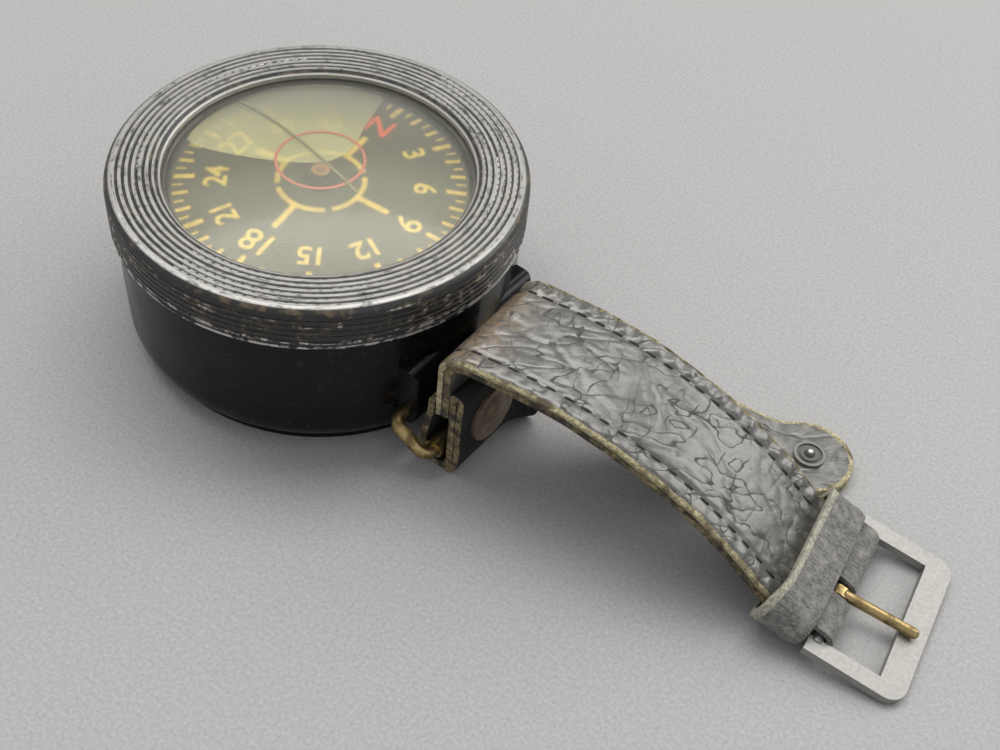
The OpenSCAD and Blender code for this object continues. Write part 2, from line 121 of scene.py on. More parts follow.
moulding = Finish("black_moulding", Specular_IOR_Level=0.2)
dust = moulding.patches(1.2, 9.0, 0.56, 0.78)
handled = moulding.patches(11.0, 3.0, 0.4, 0.7)
moulding.give("Base Color", moulding.blend(dust, (0.004, 0.004, 0.005, 1), (0.020, 0.019, 0.018, 1)))
moulding.give("Roughness", moulding.between(handled, 0.2, 0.36))
moulding.relief(moulding.mottle(0.5, 3.0), 0.006)
dress(moulding, "body_case")

# Filler plug, pivot post and pivot pin
# A slotted brass screw closes the filling hole in the base. A turned brass post stands on the
# chamber's floor and holds the hardened steel pin that the card floats on.
old_brass = Finish("old_brass", Metallic=1.0)
tarnish = old_brass.patches(1.7, 7.0, 0.42, 0.68)
old_brass.give("Base Color", old_brass.blend(tarnish, (0.40, 0.30, 0.14, 1), (0.15, 0.105, 0.05, 1)))
old_brass.give("Roughness", old_brass.between(tarnish, 0.3, 0.55))
old_brass.relief(old_brass.mottle(0.35, 5.0), 0.03)
dress(old_brass, "filler_plug", "pivot_post")

bare_steel = Finish("bare_steel", Metallic=1.0)
steel_grime = bare_steel.mottle(0.9, 6.0)
bare_steel.give("Base Color", bare_steel.blend(steel_grime, (0.30, 0.29, 0.27, 1), (0.62, 0.62, 0.60, 1)))
bare_steel.give("Roughness", bare_steel.between(steel_grime, 0.55, 0.28))
dress(bare_steel, "pivot_pin", "card_magnet_a", "card_magnet_b")

# Card with its hub
# A thin disc painted matt black. Its ticks, bars and broken ring stand proud in yellowed
# luminous paint, and the figures are painted on between them with their tops to the rim.
# The hub's blackened cap covers the pivot and ends in a small copper stone setting.
CARD_TOP = 22.0
CAP_TOP = 25.0
NORTH = 97.0
FIGURES = "N 3 6 9 12 15 18 21 24 27 30 33".split()
FIGURE_TURN = 360 / len(FIGURES)
FIGURE_R = 14.2
FIGURE_Z = CARD_TOP + 0.05
MAIN_SIZE, MAIN_SPREAD = 5.4, 0.05
MINOR_SIZE, MINOR_SPREAD = 4.5, 0.07
LETTER_SPACE = 0.88
PAINT_T = 0.04
SAME_SPOT = 0.002

card_paint = Finish("card_paint", Roughness=0.75)
painted_mark = card_paint.above(card_paint.height(), (CARD_TOP + 0.02) * MM, (CARD_TOP + 0.05) * MM)
faded = card_paint.patches(0.8, 5.0, 0.35, 0.75)
card_black = card_paint.blend(faded, (0.012, 0.012, 0.008, 1), (0.034, 0.032, 0.018, 1))
mark_yellow = card_paint.blend(faded, (0.72, 0.52, 0.12, 1), (0.42, 0.29, 0.06, 1))
card_paint.give("Base Color", card_paint.blend(painted_mark, card_black, mark_yellow))
dress(card_paint, "compass_card")

blackened = Finish("blackened_hub", Metallic=0.8)
copper_tip = blackened.above(blackened.height(), (CAP_TOP - 0.05) * MM, (CAP_TOP + 0.1) * MM)
hub_wear = blackened.patches(0.6, 5.0, 0.4, 0.75)
hub_black = blackened.blend(hub_wear, (0.02, 0.02, 0.018, 1), (0.075, 0.06, 0.04, 1))
blackened.give("Base Color", blackened.blend(copper_tip, hub_black, (0.26, 0.14, 0.09, 1)))
blackened.give("Roughness", blackened.between(hub_wear, 0.35, 0.6))
dress(blackened, "card_hub")

luminous = Finish("luminous_figures", Roughness=0.8)
worn_figure = luminous.patches(0.7, 5.0, 0.35, 0.75)
luminous.give("Base Color", luminous.blend(worn_figure, (0.74, 0.55, 0.14, 1), (0.44, 0.31, 0.07, 1)))
north_red = Finish("north_red", Roughness=0.7)
worn_north = north_red.patches(0.7, 5.0, 0.35, 0.75)
north_red.give("Base Color", north_red.blend(worn_north, (0.85, 0.085, 0.01, 1), (0.52, 0.045, 0.01, 1)))


def as_piece(name, mesh, *finishes, sharp=40):
    """Turns a worked mesh into a piece of the object, faces outwards."""
    bmesh.ops.recalc_face_normals(mesh, faces=mesh.faces)
    data = bpy.data.meshes.new(name)
    mesh.to_mesh(data)
    mesh.free()
    data.set_sharp_from_angle(angle=math.radians(sharp))
    for finish in finishes:
        data.materials.append(finish.material)
    piece = bpy.data.objects.new(name, data)
    bpy.context.collection.objects.link(piece)
    return piece


for step, figure in enumerate(FIGURES):
    size, spread = (MINOR_SIZE, MINOR_SPREAD) if step % 3 else (MAIN_SIZE, MAIN_SPREAD)
    turn = math.radians(NORTH - FIGURE_TURN * step)
    letter = bpy.data.curves.new("lettering", "FONT")
    letter.body = figure
    letter.align_x = letter.align_y = "CENTER"
    letter.size = size * MM
    letter.space_character = LETTER_SPACE
    letter.offset = spread * MM
    letter.extrude = PAINT_T * MM
    stencil = bpy.data.objects.new("lettering", letter)
    paint = bmesh.new()
    paint.from_mesh(bpy.data.meshes.new_from_object(stencil))
    bpy.data.objects.remove(stencil)
    bmesh.ops.remove_doubles(paint, verts=paint.verts, dist=SAME_SPOT * MM)
    painted = as_piece("figure_" + figure, paint, north_red if figure == "N" else luminous)
    painted.location = Vector((FIGURE_R * math.cos(turn), FIGURE_R * math.sin(turn), FIGURE_Z)) * MM
    painted.rotation_euler = (0, 0, turn - math.pi / 2)
    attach(painted, "card")

# Liquid and its bubble
# The chamber is filled with clear spirit up to the crystal. Some has been lost, so a wide
# bubble of air lies under the far side of the dome, its film of spirit gone milky. Its far side
# is painted darker grey-green, as painted shade from the bezel.
DOME_RISE, DOME_HALF, DOME_TOP = 3.3, 21.8, 30.2
DOME_R = (DOME_HALF ** 2 + DOME_RISE ** 2) / (2 * DOME_RISE)
CRYSTAL_T = 1.4
CHAMBER_R, CHAMBER_FLOOR, FLANGE_Z = 22.7, 5.45, 25.4
SPIRIT_IOR = 1.4
FAINT_GLEAM = (0.05, 0.05, 0.05, 1)
LIQUID_GAP = 0.14
LIQUID_R, LIQUID_MIDDLE = 21.4, 0.2
BUBBLE_R = 21.0
BUBBLE_FILM = 0.45
BUBBLE_LIP = 0.9
BUBBLE_THIN = 0.5
BUBBLE_RIM = 0.01
FILL_TOP, FILL_SLOPE = 27.6, 0.22
AWAY_X, AWAY_Y = -0.54, 0.84
# Where the painted shade on the bubble's far side starts and where it is full, in millimetres towards the
# far side.
SHADE_FROM, SHADE_TO = 6.0, 19.0


def dome_height(r, depth):
    """Height of the sphere that lies depth millimetres under the crystal's outer face."""
    return DOME_TOP - DOME_R + math.sqrt((DOME_R - depth) ** 2 - r * r)


def clear_finish(name, ior, tint, rough):
    """Clear stuff that bends light and lets the lamps through to what is under it."""
    clear = Finish(name, IOR=ior, Roughness=rough, Transmission_Weight=1.0, Base_Color=tint)
    lamp_ray = clear.add("LightPath", {}, output="Is Shadow Ray")
    stray_ray = clear.add("LightPath", {}, output="Is Diffuse Ray")
    through = clear.add("BsdfTransparent", {"Color": tint})
    to_lamps = clear.add("MixShader", {0: lamp_ray, 1: clear.shader.outputs[0], 2: through})
    mixed = clear.add("MixShader", {0: stray_ray, 1: to_lamps, 2: through})
    clear.join(clear.tree.nodes["Material Output"].inputs["Surface"], mixed)
    return clear


def skin(mesh, rings):
    """Joins closed rings of points, each to the next, and closes the two ends."""
    made = [[mesh.verts.new(Vector(point) * MM) for point in ring] for ring in rings]
    for low, high in zip(made, made[1:]):
        for k in range(len(low)):
            after = (k + 1) % len(low)
            mesh.faces.new((low[k], low[after], high[after], high[k])).smooth = True
    for ring in (made[0], made[-1]):
        mesh.faces.new(ring).smooth = True


def ring_at(r, z, turns=128):
    around = [2 * math.pi * k / turns for k in range(turns)]
    return [(r * math.cos(a), r * math.sin(a), z) for a in around]


spirit = clear_finish("spirit", SPIRIT_IOR, (0.97, 0.97, 0.88, 1), 0.11)
spirit.give("Specular Tint", FAINT_GLEAM)
fill = bmesh.new()
bottom = [(LIQUID_MIDDLE, CHAMBER_FLOOR), (CHAMBER_R, CHAMBER_FLOOR)]
shoulder = [(CHAMBER_R, FLANGE_Z), (LIQUID_R + 0.1, FLANGE_Z)]
dome_steps = [LIQUID_R * k / 28 for k in range(28, 0, -1)]
under_dome = [(r, dome_height(r, CRYSTAL_T + LIQUID_GAP)) for r in dome_steps]
skin(fill, [ring_at(r, z) for r, z in bottom + shoulder + under_dome])
liquid = as_piece("liquid", fill, spirit)
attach(liquid, "case")


def bubble_edge(count=96):
    """The bubble's outline from above: a free near side, and the dome's own circle at the back."""
    near = [(-19.3, -6.9), (-14.8, -7.4), (-9.6, -6.3), (-5.6, -4.8), (-2.8, -3.3), (-0.4, -1.5), (1.3, 0.7)]
    near += [(1.7, 3.4), (1.0, 6.3), (-0.5, 9.7), (-2.1, 13.2), (-3.6, 16.6), (-5.4, 19.4)]
    behind = [math.radians(112 + 8.5 * k) for k in range(1, 10)]
    back = [(BUBBLE_R * math.cos(a), BUBBLE_R * math.sin(a)) for a in behind]
    corners = [Vector(p) for p in near + back]
    edge = []
    for k in range(count):
        s = k * len(corners) / count
        i, t = int(s), s - int(s)
        a, b, c, d = (corners[(i + j - 1) % len(corners)] for j in range(4))
        bend = (2 * a - 5 * b + 4 * c - d) * t ** 2 + (3 * b - a - 3 * c + d) * t ** 3
        edge.append(0.5 * (2 * b + (c - a) * t + bend))
    return edge


def bubble_rings(steps=12):
    """The bubble's skin: its roof from the middle to the edge, then its floor back again."""
    edge = bubble_edge()
    middle = sum(edge, Vector((0, 0))) / len(edge)
    top, low = [], []
    for k in range(1, steps + 1):
        share = math.sin(math.pi / 2 * k / steps)
        over, under = [], []
        for rim in edge:
            spot = middle.lerp(rim, share)
            roof = dome_height(spot.length, CRYSTAL_T + BUBBLE_FILM)
            inside = min(1.0, (1 - share) * (rim - middle).length / BUBBLE_LIP)
            floor = FILL_TOP - FILL_SLOPE * (AWAY_Y * spot.y + AWAY_X * spot.x)
            deep = max(BUBBLE_THIN, roof - floor) * math.sqrt(1 - (1 - inside) ** 2)
            over.append((spot.x, spot.y, roof))
            under.append((spot.x, spot.y, roof - deep - BUBBLE_RIM))
        top.append(over)
        low.append(under)
    return top + low[::-1]


air = clear_finish("air_bubble", 1 / SPIRIT_IOR, (0.86, 0.85, 0.68, 1), 0.05)
away = {0: air.place, 1: (AWAY_X, AWAY_Y, 0)}
# The bubble's far side is painted a darker grey-green: painted shade from the bezel over it.
far_side = air.add("VectorMath", away, output=1, operation="DOT_PRODUCT")
painted_bezel_shade = air.above(far_side, SHADE_FROM * MM, SHADE_TO * MM)
milk = air.blend(air.mottle(5.0, 5.0), (0.62, 0.62, 0.46, 1), (0.95, 0.94, 0.78, 1))
air.give("Base Color", air.blend(painted_bezel_shade, milk, (0.36, 0.37, 0.29, 1)))
air.give("Transmission Weight", 0.80)
air.give("Specular Tint", FAINT_GLEAM)
pocket = bmesh.new()
skin(pocket, bubble_rings())
bubble = as_piece("bubble", pocket, air, sharp=80)
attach(bubble, "case")

# Crystal with its gasket, course line and centre ring
# A moulded clear dome with a flange, clamped on a rubber gasket. The dark course line and
# the thin red ring are painted on its underside.
crystal_clear = clear_finish("crystal_clear", 1.45, (0.96, 0.95, 0.84, 1), 0.16)
crystal_clear.give("Transmission Weight", 0.97)
crystal_clear.give("Specular Tint", (0.3, 0.3, 0.3, 1))
crystal_clear.give("Coat Weight", 0.35)
crystal_clear.give("Coat Roughness", 0.4)
crystal_clear.relief(crystal_clear.mottle(6.0, 2.0), 0.02)
dress(crystal_clear, "crystal")

gasket_rubber = Finish("gasket_rubber")
bloom = gasket_rubber.mottle(1.5)
gasket_rubber.give("Base Color", gasket_rubber.blend(bloom, (0.010, 0.010, 0.010, 1), (0.03, 0.03, 0.03, 1)))
gasket_rubber.give("Roughness", gasket_rubber.between(bloom, 0.6, 0.9))
dress(gasket_rubber, "crystal_gasket")

line_paint = Finish("line_paint", Roughness=0.6)
line_wear = line_paint.mottle(0.8)
line_paint.give("Base Color", line_paint.blend(line_wear, (0.05, 0.05, 0.02, 1), (0.14, 0.13, 0.06, 1)))
dress(line_paint, "course_line")
ring_paint = Finish("ring_paint", Roughness=0.6)
ring_wear = ring_paint.mottle(0.9)
ring_paint.give("Base Color", ring_paint.blend(ring_wear, (0.34, 0.04, 0.03, 1), (0.46, 0.10, 0.07, 1)))
dress(ring_paint, "centre_ring")

# Bezel ring
# A turned alloy ring with grooves on its top and round its side, stove-enamelled black.
# The top is rubbed bare between the grooves, the shoulder and the side only in streaks.
BEZEL_R = 30.0
BEZEL_TOP = 28.3
BEZEL_FOOT = 21.6
WINDOW_R = 22.3

enamel = Finish("worn_enamel", Specular_IOR_Level=0.6)
heading = enamel.add("VectorMath", {0: enamel.stretched(1, 1, 0)}, operation="NORMALIZE")
wide_turn = enamel.add("VectorMath", {0: heading, 1: (0.012, 0.012, 0.0)}, operation="MULTIPLY")
level = enamel.maths("MULTIPLY", enamel.maths("ADD", enamel.radius(), enamel.height()), 5.0)
upwards = enamel.add("CombineXYZ", {2: level})
along_turning = enamel.add("VectorMath", {0: wide_turn, 1: upwards}, operation="ADD")
turned = enamel.mottle(1.6, 6.0, along_turning)
flaked = enamel.mottle(1.1, 9.0)
wear = enamel.maths("ADD", turned, flaked)
on_top = enamel.above(enamel.height(), (BEZEL_TOP - 0.19) * MM, (BEZEL_TOP - 0.09) * MM)
on_side = enamel.above(enamel.radius(), (BEZEL_R - 0.10) * MM, (BEZEL_R - 0.02) * MM)
on_lip = enamel.above(enamel.radius(), (WINDOW_R + 0.35) * MM, (WINDOW_R + 0.15) * MM)
at_foot = enamel.above(enamel.height(), (BEZEL_FOOT + 2.0) * MM, (BEZEL_FOOT + 0.2) * MM)
rubbed_top = enamel.maths("MULTIPLY", on_top, enamel.above(wear, 0.6, 1.0))
chipped = enamel.above(enamel.maths("ADD", wear, enamel.maths("MULTIPLY", at_foot, 0.22)), 1.14, 1.26)
rubbed_side = enamel.maths("MULTIPLY", on_side, chipped)
rubbed_lip = enamel.maths("MULTIPLY", on_lip, 0.8)
bare_face = enamel.maths("MAXIMUM", enamel.maths("MULTIPLY", rubbed_top, 0.62), rubbed_side)
bare = enamel.maths("MAXIMUM", bare_face, rubbed_lip)
browned = enamel.maths("MULTIPLY", enamel.above(wear, 0.98, 1.28), enamel.maths("SUBTRACT", 1.0, on_top))
black_coat = enamel.blend(browned, (0.010, 0.010, 0.010, 1), (0.10, 0.068, 0.034, 1))
bare_alloy = enamel.blend(turned, (0.42, 0.412, 0.385, 1), (0.70, 0.69, 0.655, 1))
enamel.give("Base Color", enamel.blend(bare, black_coat, bare_alloy))
enamel.give("Metallic", enamel.maths("MULTIPLY", bare, 0.7))
enamel.give("Roughness", enamel.between(flaked, 0.3, 0.5))
enamel.relief(wear, 0.02)
dress(enamel, "bezel_ring")

# Bail and roller
# A 2 mm brass wire, bent to a rectangle, springs into the lug's holes. A brass tube on its
# bar keeps the leather from chafing.
dress(old_brass, "strap_bail", "bail_roller")

# Loop at the foot of the strap
# A strip of hide goes round the roller and is sewn to the strap's leg on one side. On the other
# it stands up, folds over and hangs down again as a suede facing, which curls at its free end.
# The facing's suede and the loop's inside are painted near black, as painted shade under the strap's arch.
BAR_X = 33.179
LOOP_Y = -5.5
LOOP_HALF = 8.0
LOOP_Z = 2.9
LOOP_R = 2.85
LOOP_T = 1.04
FACING_T = 0.98
STOP_GAP = 0.4
CURL_FROM, CURL = 2.6, 0.085


def bare_hide(name, rough, nap, dull, pale, fuzz, depth, stain=None, stained=None):
    """The unpolished side or the cut edge of a hide: nap in two tones, stained in patches.
    Nap and stain say how the patches lie, and fuzz how the roughness of the surface does."""
    bare = Finish(name, Roughness=rough)
    tone = bare.blend(bare.patches(*nap), dull, pale)
    if stain:
        tone = bare.blend(bare.patches(*stain), tone, stained)
    bare.give("Base Color", tone)
    bare.relief(bare.mottle(*fuzz), depth)
    return bare


dark_edge = bare_hide(
    "dark_edge", rough=0.9, nap=(0.6, 8.0, 0.3, 0.75), fuzz=(0.35, 8.0), depth=0.18,
    dull=(0.10, 0.078, 0.036, 1), pale=(0.27, 0.22, 0.12, 1),
    stain=(2.0, 6.0, 0.42, 0.62), stained=(0.035, 0.03, 0.022, 1),
)
flesh = bare_hide(
    "flesh_side", rough=0.95, nap=(0.7, 9.0, 0.3, 0.75), fuzz=(0.4, 8.0), depth=0.1,
    dull=(0.075, 0.068, 0.055, 1), pale=(0.17, 0.155, 0.125, 1),
    stain=(4.0, 4.0, 0.42, 0.68), stained=(0.045, 0.042, 0.038, 1),
)
# Suede painted near black: painted shade under the strap's arch, on the facing and inside the loop.
shaded_suede = bare_hide(
    "shaded_suede", rough=0.95, nap=(0.5, 9.0, 0.35, 0.7), fuzz=(0.35, 9.0), depth=0.12,
    dull=(0.004, 0.004, 0.004, 1), pale=(0.015, 0.0145, 0.013, 1),
)


def cut_strip(name, rail, thick, columns, finishes, lift=None, worn=(0, 0), closed=False):
    """A strip of hide swept along rail. Each stop of the rail gives the middle of the outer face,
    the direction across, the direction outwards and the two half widths, in millimetres.
    The finishes are those of the outer face, the cut edge and the inner face. The outermost
    columns of the outer face, as many as worn says, are rubbed down to the look of the edge.
    A closed strip joins its last stop to its first."""
    mesh = bmesh.new()
    rings = []
    for stop, (middle, across, outward, near, far) in enumerate(rail):
        outer, inner = [], []
        for k in range(columns + 1):
            y = -near + (near + far) * k / columns
            raised = lift(stop, y) if lift else 0.0
            outer.append(middle + across * y + outward * raised)
            inner.append(middle + across * y - outward * thick)
        belly = 0.12 * thick
        far_edge = [middle + across * (far + belly) - outward * (thick * part) for part in (0.35, 0.7)]
        near_edge = [middle - across * (near + belly) - outward * (thick * part) for part in (0.7, 0.35)]
        rings.append([mesh.verts.new(point * MM) for point in outer + far_edge + inner[::-1] + near_edge])
    count = len(rings[0])
    for low, high in zip(rings, rings[1:] + rings[:1] * closed):
        for k in range(count):
            face = mesh.faces.new((low[k], low[(k + 1) % count], high[(k + 1) % count], high[k]))
            face.smooth = True
            if worn[0] <= k < columns - worn[1]:
                face.material_index = 0
            elif columns + 3 <= k < 2 * columns + 3:
                face.material_index = 2
            else:
                face.material_index = 1
    for ring in () if closed else (rings[0], rings[-1]):
        for k in range(columns):
            corners = (ring[k], ring[k + 1], ring[2 * columns + 2 - k], ring[2 * columns + 3 - k])
            mesh.faces.new(corners).material_index = 1
        mesh.faces.new(ring[columns:columns + 4]).material_index = 1
        mesh.faces.new([ring[-2], ring[-1], ring[0], ring[2 * columns + 3]]).material_index = 1
    return as_piece(name, mesh, *finishes)


def smooth_rail(points, spacing):
    """Rounds a run of (x, z) points and returns evenly spaced (x, z, outward x, outward z)."""
    for _ in range(3):
        cut = [points[0]]
        for (ax, az), (bx, bz) in zip(points, points[1:]):
            cut.append((ax * 0.75 + bx * 0.25, az * 0.75 + bz * 0.25))
            cut.append((ax * 0.25 + bx * 0.75, az * 0.25 + bz * 0.75))
        points = cut + [points[-1]]
    run = [0.0]
    for (ax, az), (bx, bz) in zip(points, points[1:]):
        run.append(run[-1] + math.hypot(bx - ax, bz - az))
    even = []
    steps = max(2, round(run[-1] / spacing))
    k = 0
    for i in range(steps + 1):
        s = run[-1] * i / steps
        while k < len(run) - 2 and run[k + 1] < s:
            k += 1
        (ax, az), (bx, bz) = points[k], points[k + 1]
        part = (s - run[k]) / (run[k + 1] - run[k])
        long = math.hypot(bx - ax, bz - az)
        even.append((ax + (bx - ax) * part, az + (bz - az) * part, -(bz - az) / long, (bx - ax) / long))
    return even


def wave(seed, s, y, size):
    """Slow unevenness of hand-cut hide, from -1 to 1."""
    return noise.noise(Vector((s / size + 7.3 * seed, y / size, 3.1 * seed)))


def step_up(value, low, high):
    part = min(1.0, max(0.0, (value - low) / (high - low)))
    return part * part * (3 - 2 * part)


def upright_rail(run, spacing, seed):
    """Stops of a strip that stands across the bail: its outer face follows the run of (x, z)."""
    stops = []
    for k, (x, z, nx, nz) in enumerate(smooth_rail(run, spacing)):
        near = LOOP_HALF + 0.12 * wave(seed, k, 0, 5)
        middle, across, outward = Vector((BAR_X + x, LOOP_Y, z)), Vector((0, 1, 0)), Vector((nx, 0, nz))
        stops.append((middle, across, outward, near, LOOP_HALF))
    return stops


loop_run = [(2.86, 14.6), (2.85, 12.5), (2.88, 9.5), (2.82, 6.0), (LOOP_R, LOOP_Z)]
round_roller = [-math.pi * k / 10 for k in range(1, 10)]
loop_run += [(LOOP_R * math.cos(a), LOOP_Z + LOOP_R * math.sin(a)) for a in round_roller]
loop_run += [(-LOOP_R, LOOP_Z), (-LOOP_R, 5.4), (-2.3, 8.2), (-1.76, 11.0), (-1.72, 12.9)]
loop = cut_strip("loop", upright_rail(loop_run, STOP_GAP, 1), LOOP_T, 22, (flesh, dark_edge, shaded_suede))
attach(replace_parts(loop, "strap_loop"), "strap")

facing_run = [(1.75, 15.0), (1.8, 15.9), (2.4, 16.5), (3.3, 16.5), (4.05, 15.9), (4.2, 14.8), (4.0, 13.0)]
facing_run += [(3.96, 10.0), (3.98, 5.0), (3.92, 2.9), (3.6, 1.4), (2.8, 0.3), (2.0, 0.06)]
facing = cut_strip(
    "facing", upright_rail(facing_run, STOP_GAP, 2), FACING_T, 34, (shaded_suede, dark_edge, flesh),
    lambda stop, y: 0.07 * wave(3, stop * STOP_GAP, y, 4),
)
for point in facing.data.vertices:
    free = max(0.0, point.co.y / MM - (LOOP_Y + CURL_FROM))
    low_half = 1 - step_up(point.co.z / MM, 9.0, 16.0)
    point.co.x += CURL * free ** 2 * (0.35 + 0.65 * low_half) * MM
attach(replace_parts(facing, "loop_facing"), "strap")

# Stud on the facing
# A domed cap in brown lacquer over a brass post. The lacquer is thin and rubbed round the rim.
lacquer = Finish("brown_lacquer", Coat_Weight=0.15, Coat_Roughness=0.3)
lacquer_wear = lacquer.patches(1.6, 7.0, 0.4, 0.7)
lacquer.give("Base Color", lacquer.blend(lacquer_wear, (0.105, 0.072, 0.042, 1), (0.19, 0.14, 0.09, 1)))
lacquer.give("Roughness", lacquer.between(lacquer_wear, 0.4, 0.6))
dress(lacquer, "stud_cap")
dress(old_brass, "stud_post")

# Strap
# Two layers of black hide sewn along both edges. The outer face is creased where it arches
# over the wrist, the sewn borders pucker between the stitches, and the cut edges are bare.
STRAP_Y = -4.0
STRAP_HALF = 9.7
STRAP_T = 2.24
OUTER_T = 1.06
LINING_T = 1.05
LINING_DEPTH = 1.15
CUT_WAVER, CUT_BACK = 0.14, 0.08
THREAD_R = 0.2
STITCH_Y = 7.0
STITCH_L = 2.1
STITCH_STEP = 2.7
STITCH_SLANT = 0.16
STITCH_FORM = ((0.0, -0.5), (0.2, -0.12), (0.5, -0.04), (0.8, -0.12), (1.0, -0.5))
STITCH_SEAT = 0.16
SEW_START, SEW_STOP = 2.0, 6.7
ARCH_TOP = 23.4
ARCH_R = 60.0
BUCKLE_X, BUCKLE_Z = 56.0, 2.8
DIP = math.radians(20)
SKEW_A = math.radians(8)
SKEW = math.tan(SKEW_A)
strap_place = Matrix.Translation((BAR_X, STRAP_Y, 0)) @ Matrix.Rotation(SKEW_A, 4, "Z")


def hide_finish(name, bend_from, bend_to):
    """Soft black hide with thin crease lines, painted near black as painted shade in the creases.
    Its lands are a lifted grey that is partly the hide's worn tone and partly painted sheen.
    It is rubbed brown where its run is under bend_to.
    """
    hide = Finish(name, Specular_IOR_Level=1.0)
    wander = hide.add("TexNoise", {"Vector": hide.place, "Scale": 260.0, "Detail": 2.0}, output=1)
    centred = hide.add("VectorMath", {0: wander, 1: (0.5, 0.5, 0.5)}, operation="SUBTRACT")
    pulled = hide.add("VectorMath", {0: centred, 1: (0.0009, 0.0009, 0.0009)}, operation="MULTIPLY")
    bent = hide.add("VectorMath", {0: hide.place, 1: pulled}, operation="ADD")

    def folds(slant, long, short):
        """How far a spot lies from the nearest of the long creases that run along one slant."""
        turn, size = (0, 0, math.radians(slant)), (long * MM, short * MM, short * MM)
        aslant = {"Vector": bent, "Rotation": turn, "Scale": size}
        drawn = hide.add("Mapping", aslant, vector_type="TEXTURE")
        swell = hide.add("TexNoise", {"Vector": drawn, "Scale": 1.0, "Detail": 1.5})
        return hide.maths("ABSOLUTE", hide.maths("SUBTRACT", swell, 0.5))

    across, upward, fine = folds(37, 11.0, 3.4), folds(100, 9.0, 4.0), folds(48, 5.0, 1.5)
    patchy = hide.between(hide.patches(3.4, 3.0, 0.4, 0.58), 0.1, 1.0)
    crossing = hide.maths("MULTIPLY", hide.above(upward, 0.017, 0.002), patchy)
    crease_shade = hide.maths("MAXIMUM", hide.above(across, 0.020, 0.003), crossing)
    crinkle_shade = hide.maths("MULTIPLY", hide.above(fine, 0.030, 0.0), patchy)
    half_sunk = hide.maths("MULTIPLY", hide.above(upward, 0.08, 0.0), 0.5)
    sunk = hide.maths("ADD", hide.above(across, 0.09, 0.0), half_sunk)
    puffed = hide.maths("ADD", sunk, hide.maths("MULTIPLY", hide.above(fine, 0.1, 0.0), 0.2))
    grain = hide.maths("MULTIPLY", hide.mottle(0.28, 6.0), 0.3)
    hide.relief(hide.maths("SUBTRACT", grain, puffed), 0.036)
    scuff = hide.patches(2.2, 9.0, 0.46, 0.72)
    # The lands' grey is partly the hide's worn tone and partly painted sheen.
    sheen_lifted_land = hide.blend(scuff, (0.07, 0.0685, 0.06, 1), (0.16, 0.156, 0.138, 1))
    lengthwise = (math.cos(SKEW_A), math.sin(SKEW_A), 0)
    run = hide.add("VectorMath", {0: hide.place, 1: lengthwise}, output=1, operation="DOT_PRODUCT")
    speckle = hide.patches(0.7, 8.0, 0.34, 0.58)
    rub = hide.maths("MULTIPLY", hide.above(run, bend_to * MM, bend_from * MM), speckle)
    rubbed = hide.blend(rub, sheen_lifted_land, (0.17, 0.125, 0.08, 1))
    # The crease lines are painted near black: painted shade in the creases.
    line = hide.maths("MAXIMUM", hide.maths("MULTIPLY", crease_shade, 0.85), hide.maths("MULTIPLY", crinkle_shade, 0.3))
    hide.give("Base Color", hide.blend(line, rubbed, (0.005, 0.005, 0.004, 1)))
    dull = hide.maths("MULTIPLY", line, 0.9)
    hide.give("Roughness", hide.maths("MAXIMUM", hide.between(scuff, 0.32, 0.42), dull))
    return hide


hide = hide_finish("black_hide", 33.0, 41.0)
raw_edge = bare_hide(
    "raw_edge", rough=0.9, nap=(0.5, 8.0, 0.3, 0.75), fuzz=(0.35, 8.0), depth=0.16,
    dull=(0.22, 0.185, 0.10, 1), pale=(0.52, 0.47, 0.30, 1),
    stain=(2.4, 6.0, 0.46, 0.66), stained=(0.11, 0.088, 0.05, 1),
)


def strap_stops(depth, spacing):
    """Even stops along the strap: x, z, outward x, outward z, share of the bail's skew, run."""
    down, up = Vector((math.cos(DIP), -math.sin(DIP))), Vector((math.sin(DIP), math.cos(DIP)))
    leg_x, leg_end, corner, arch_x, back = -0.54, 11.3, 3.6, 7.0, 10.0
    arch_c = Vector((arch_x, ARCH_TOP - ARCH_R))
    end_line = Vector((BUCKLE_X, BUCKLE_Z)) + up * (STRAP_T / 2)
    off = (end_line - arch_c).dot(up)
    run = math.sqrt((ARCH_R + back) ** 2 - (off + back) ** 2)
    back_c = arch_c + up * (off + back) + down * run
    meet = math.atan2(back_c.y - arch_c.y, back_c.x - arch_c.x)
    tail = end_line - down * 2.5
    settled = 1.5 * math.pi - DIP
    path = []

    def straight(a, b, outward, twist_a, twist_b):
        path.append(((b - a).length, lambda p: (a.lerp(b, p), outward, twist_a + (twist_b - twist_a) * p)))

    def arc(c, r, a, b, side, twist_a, twist_b):
        def at(p):
            turn = a + (b - a) * p
            ray = Vector((math.cos(turn), math.sin(turn)))
            return c + ray * r, ray * side, twist_a + (twist_b - twist_a) * p
        path.append((r * abs(b - a), at))

    half_turn = math.pi / 2
    straight(Vector((leg_x, leg_end)), Vector((leg_x, ARCH_TOP - corner)), Vector((-1, 0)), 1, 1)
    arc(Vector((leg_x + corner, ARCH_TOP - corner)), corner, math.pi, half_turn, 1, 1, 0.4)
    straight(Vector((leg_x + corner, ARCH_TOP)), Vector((arch_x, ARCH_TOP)), Vector((0, 1)), 0.4, 0.1)
    arc(arch_c, ARCH_R, half_turn, meet, 1, 0.1, 0)
    arc(back_c, back, meet + math.pi, settled, -1, 0, 0)
    last = back_c + back * Vector((math.cos(settled), math.sin(settled)))
    straight(last, tail, up, 0, 0)
    stops, gone = [], 0.0
    for long, at in path:
        steps = max(1, round(long / spacing))
        for k in range(0 if not stops else 1, steps + 1):
            spot, outward, twist = at(k / steps)
            spot = spot - outward * depth
            stops.append((spot.x, spot.y, outward.x, outward.y, twist, gone + long * k / steps))
        gone += long
    return stops


